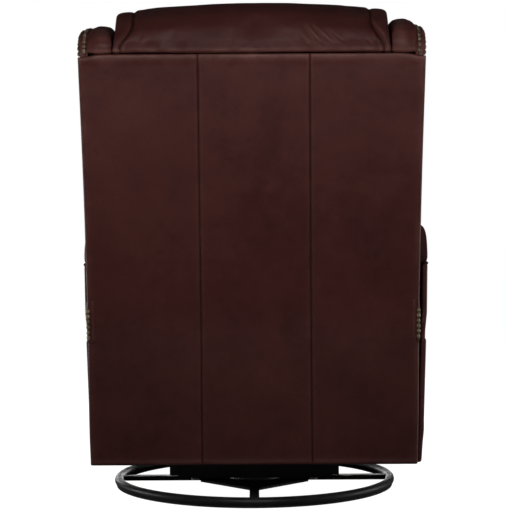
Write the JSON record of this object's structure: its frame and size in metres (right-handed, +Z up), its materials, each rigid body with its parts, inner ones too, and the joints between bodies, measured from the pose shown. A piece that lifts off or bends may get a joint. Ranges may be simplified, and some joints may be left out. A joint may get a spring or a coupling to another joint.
{
  "type": "swivel glider recliner",
  "caption": "Leather wing-back recliner on a steel ring base: it swivels and glides, the padded back reclines, and a folding footrest swings out from under the seat.",
  "frame": {"origin": "on the floor, on the swivel axis at the centre of the base ring, with the chair upright and the footrest closed", "axes": "+Z up; the sitter faces -Y, so the outside back faces +Y; +X is the sitter's left"},
  "size_m": [0.776, 0.944, 1.112],
  "materials": {
    "oxblood_leather": "satin",
    "nail_brass": "satin",
    "black_steel": "satin",
    "zinc_steel": "satin",
    "floor_rubber": "matte",
    "bush_plastic": "matte",
    "handle_plastic": "matte",
    "frame_wood": "matte"
  },
  "bodies": {
    "base": {"base_ring": "black_steel", "floor_strip": "floor_rubber", "spoke_bars": "black_steel", "hub_plate": "black_steel", "bearing_lower_race": "zinc_steel", "bearing_balls": "zinc_steel", "swivel_kingpin": "zinc_steel"},
    "swivel_frame": {"bearing_upper_race": "zinc_steel", "swivel_top_plate": "black_steel", "glider_rear_channel": "black_steel", "glider_front_channel": "black_steel", "glider_side_plate_left": "black_steel", "glider_side_plate_right": "black_steel", "glider_base_bolts": "zinc_steel", "glide_upper_pins": "zinc_steel"},
    "front_links": {"swing_link_front_left": "black_steel", "swing_link_front_right": "black_steel", "front_link_bushes": "bush_plastic"},
    "rear_links": {"swing_link_rear_left": "black_steel", "swing_link_rear_right": "black_steel", "rear_link_bushes": "bush_plastic"},
    "chassis": {"carrier_rail_left": "black_steel", "carrier_rail_right": "black_steel", "glide_lower_pins": "zinc_steel", "cross_tube_front": "black_steel", "cross_tube_rear": "black_steel", "mechanism_rail_left": "black_steel", "mechanism_rail_right": "black_steel", "back_pivot_pins": "zinc_steel", "arm_frame_left": "frame_wood", "arm_frame_right": "frame_wood", "arm_pad_left": "oxblood_leather", "arm_pad_right": "oxblood_leather", "arm_outside_left": "oxblood_leather", "arm_outside_right": "oxblood_leather", "arm_front_panel_left": "oxblood_leather", "arm_front_panel_right": "oxblood_leather", "arm_nail_trim": "nail_brass", "seat_deck_frame": "frame_wood", "seat_springs": "zinc_steel", "seat_cushion": "oxblood_leather", "outside_back_lower": "oxblood_leather", "release_bracket": "black_steel"},
    "handle": {"release_handle": "handle_plastic"},
    "back": {"back_frame": "frame_wood", "back_brackets": "black_steel", "outside_back_upper": "oxblood_leather", "lumbar_cushion": "oxblood_leather", "head_pillow": "oxblood_leather", "wing_panel_left": "oxblood_leather", "wing_panel_right": "oxblood_leather", "wing_pad_left": "oxblood_leather", "wing_pad_right": "oxblood_leather", "wing_nail_trim": "nail_brass"},
    "foot_drive": {"footrest_drive_links": "black_steel", "torque_tube": "black_steel"},
    "foot_fold": {"footrest_front_links": "black_steel"},
    "footrest": {"footrest_brackets": "black_steel", "footrest_board": "frame_wood", "footrest_pad": "oxblood_leather"}
  },
  "joints": [
    {"name": "swivel", "type": "hinge", "parent": "base", "child": "swivel_frame", "pos_m": [0, 0, 0.03], "axis": [0, 0, 1], "continuous": true},
    {"name": "glide", "type": "hinge", "parent": "swivel_frame", "child": "front_links", "pos_m": [0, -0.11, 0.285], "axis": [-1, 0, 0], "range_deg": [-24, 24]},
    {"name": "glide_level", "type": "hinge", "parent": "front_links", "child": "chassis", "pos_m": [0, -0.11, 0.135], "axis": [-1, 0, 0], "range_deg": [-24.5, 24.5]},
    {"name": "glide_rear", "type": "hinge", "parent": "swivel_frame", "child": "rear_links", "pos_m": [0, 0.11, 0.285], "axis": [-1, 0, 0], "range_deg": [-24.5, 24.5]},
    {"name": "recline", "type": "hinge", "parent": "chassis", "child": "back", "pos_m": [0, 0.322, 0.43], "axis": [-1, 0, 0], "range_deg": [0, 35]},
    {"name": "release", "type": "hinge", "parent": "chassis", "child": "handle", "pos_m": [-0.26, -0.15, 0.396], "axis": [-1, 0, 0], "range_deg": [0, 20], "stiffness_Nm_per_rad": 1.5},
    {"name": "footrest_open", "type": "hinge", "parent": "chassis", "child": "foot_drive", "pos_m": [0, -0.34, 0.3], "axis": [-1, 0, 0], "range_deg": [0, 100]},
    {"name": "footrest_fold", "type": "hinge", "parent": "foot_drive", "child": "foot_fold", "pos_m": [0, -0.32475, 0.12567], "axis": [-1, 0, 0], "range_deg": [-158, 1]},
    {"name": "footrest_turn", "type": "hinge", "parent": "foot_fold", "child": "footrest", "pos_m": [0, -0.38346, 0.30637], "axis": [-1, 0, 0], "range_deg": [-1, 148]}
  ],
  "couplings": [
    {"joint": "glide_level", "follows": "glide", "ratio": -1},
    {"joint": "glide_rear", "follows": "glide", "ratio": 1},
    {"joint": "footrest_fold", "follows": "footrest_open", "ratio": -1.57},
    {"joint": "footrest_turn", "follows": "footrest_open", "ratio": 1.47}
  ]
}
